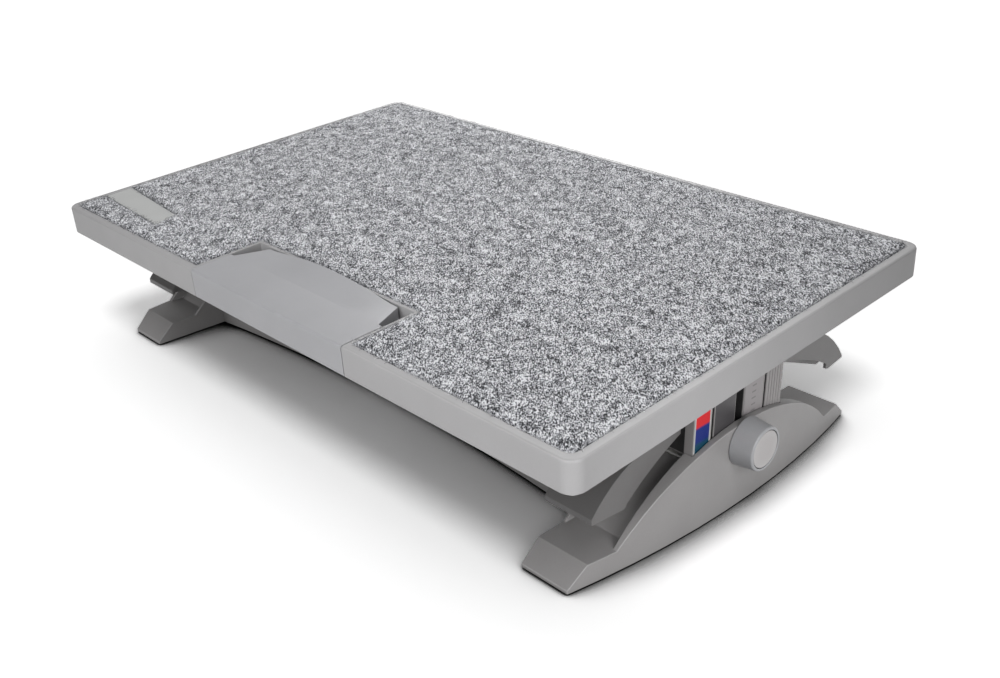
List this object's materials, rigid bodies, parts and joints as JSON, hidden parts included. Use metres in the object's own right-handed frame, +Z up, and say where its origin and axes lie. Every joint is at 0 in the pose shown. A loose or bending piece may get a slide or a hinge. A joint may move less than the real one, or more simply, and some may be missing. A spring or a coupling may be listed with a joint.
{
  "type": "footrest",
  "caption": "Carpeted tilting foot platform on an axle between two height-adjustable columns in bowed feet, with side clamp knobs and a front foot pedal.",
  "frame": {"origin": "on the floor under the middle of the tilt axle, midway between the legs", "axes": "+X towards the right-hand leg along the tilt axle, -Y towards the long edge with the pedal, +Z up"},
  "size_m": [0.5636, 0.352, 0.1352],
  "materials": {
    "leg_grey": "fine satin moulding texture",
    "tray_grey": "fine satin moulding texture",
    "pedal_grey": "fine satin moulding texture",
    "knob_grey": "matte, slightly blue",
    "cap_grey": "satin",
    "liner_white": "smooth",
    "carpet_grey": "heather needle felt",
    "rubber_black": "matte",
    "zinc_steel": "zinc plated",
    "friction_brown": "matte friction lining",
    "height_print": "printed in red, blue and teal",
    "scale_print": "printed, light grey"
  },
  "bodies": {
    "base": {"leg_left": "leg_grey", "leg_right": "leg_grey", "cross_plate": "leg_grey", "column_guide_left": "liner_white", "column_guide_right": "liner_white", "clamp_nut_left": "zinc_steel", "clamp_nut_right": "zinc_steel", "rubber_pad_front_left": "rubber_black", "rubber_pad_front_right": "rubber_black", "rubber_pad_back_left": "rubber_black", "rubber_pad_back_right": "rubber_black", "tie_screw_front_left": "zinc_steel", "tie_screw_front_right": "zinc_steel", "tie_screw_back_left": "zinc_steel", "tie_screw_back_right": "zinc_steel"},
    "lift": {"column_left": "leg_grey", "column_right": "leg_grey", "height_label_left": "height_print", "height_label_right": "height_print", "scale_plate_left": "scale_print", "scale_plate_right": "scale_print", "tilt_axle": "zinc_steel", "axle_clip_left": "zinc_steel", "axle_clip_right": "zinc_steel", "lock_rim": "zinc_steel"},
    "platform": {"platform_tray": "tray_grey", "carpet_pad": "carpet_grey", "tag_plate": "tray_grey", "cradle_left": "leg_grey", "cradle_right": "leg_grey", "bush_inner_left": "liner_white", "bush_inner_right": "liner_white", "bush_outer_left": "liner_white", "bush_outer_right": "liner_white", "cradle_screw_front_left": "zinc_steel", "cradle_screw_front_right": "zinc_steel", "cradle_screw_back_left": "zinc_steel", "cradle_screw_back_right": "zinc_steel", "pedal_pin_left": "zinc_steel", "pedal_pin_right": "zinc_steel", "pedal_spring_left": "zinc_steel", "pedal_spring_right": "zinc_steel", "lock_bracket": "zinc_steel", "bracket_screw_left": "zinc_steel", "bracket_screw_right": "zinc_steel", "lever_pin": "zinc_steel"},
    "pedal": {"pedal": "pedal_grey"},
    "lever": {"lock_lever": "zinc_steel", "lock_shoe": "friction_brown"},
    "knob_right": {"knob_right": "knob_grey", "knob_cap_right": "cap_grey", "clamp_screw_right": "zinc_steel", "clamp_washer_right": "zinc_steel"},
    "knob_left": {"knob_left": "knob_grey", "knob_cap_left": "cap_grey", "clamp_screw_left": "zinc_steel", "clamp_washer_left": "zinc_steel"}
  },
  "joints": [
    {"name": "lift_slide", "type": "slide", "parent": "base", "child": "lift", "axis": [0, 0, 1], "range_m": [-0.02, 0]},
    {"name": "tilt_hinge", "type": "hinge", "parent": "lift", "child": "platform", "pos_m": [0, 0, 0.0911], "axis": [1, 0, 0], "range_deg": [-6.17, 8.83]},
    {"name": "pedal_hinge", "type": "hinge", "parent": "platform", "child": "pedal", "pos_m": [0, -0.16939, 0.10786], "axis": [-1, 0, 0], "range_deg": [0, 6], "stiffness_Nm_per_rad": 2.5, "springref_deg": -8.59, "deforming": ["pedal_spring_left", "pedal_spring_right"]},
    {"name": "lever_hinge", "type": "hinge", "parent": "platform", "child": "lever", "pos_m": [0, -0.06945, 0.07924], "axis": [1, 0, 0], "range_deg": [0, 5.6]},
    {"name": "knob_right_turn", "type": "hinge", "parent": "base", "child": "knob_right", "pos_m": [0.2654, 0, 0.048], "axis": [1, 0, 0], "range_deg": [0, 360]},
    {"name": "knob_left_turn", "type": "hinge", "parent": "base", "child": "knob_left", "pos_m": [-0.2654, 0, 0.048], "axis": [-1, 0, 0], "range_deg": [0, 360]}
  ],
  "couplings": [
    {"joint": "lever_hinge", "follows": "pedal_hinge", "ratio": 0.929}
  ]
}
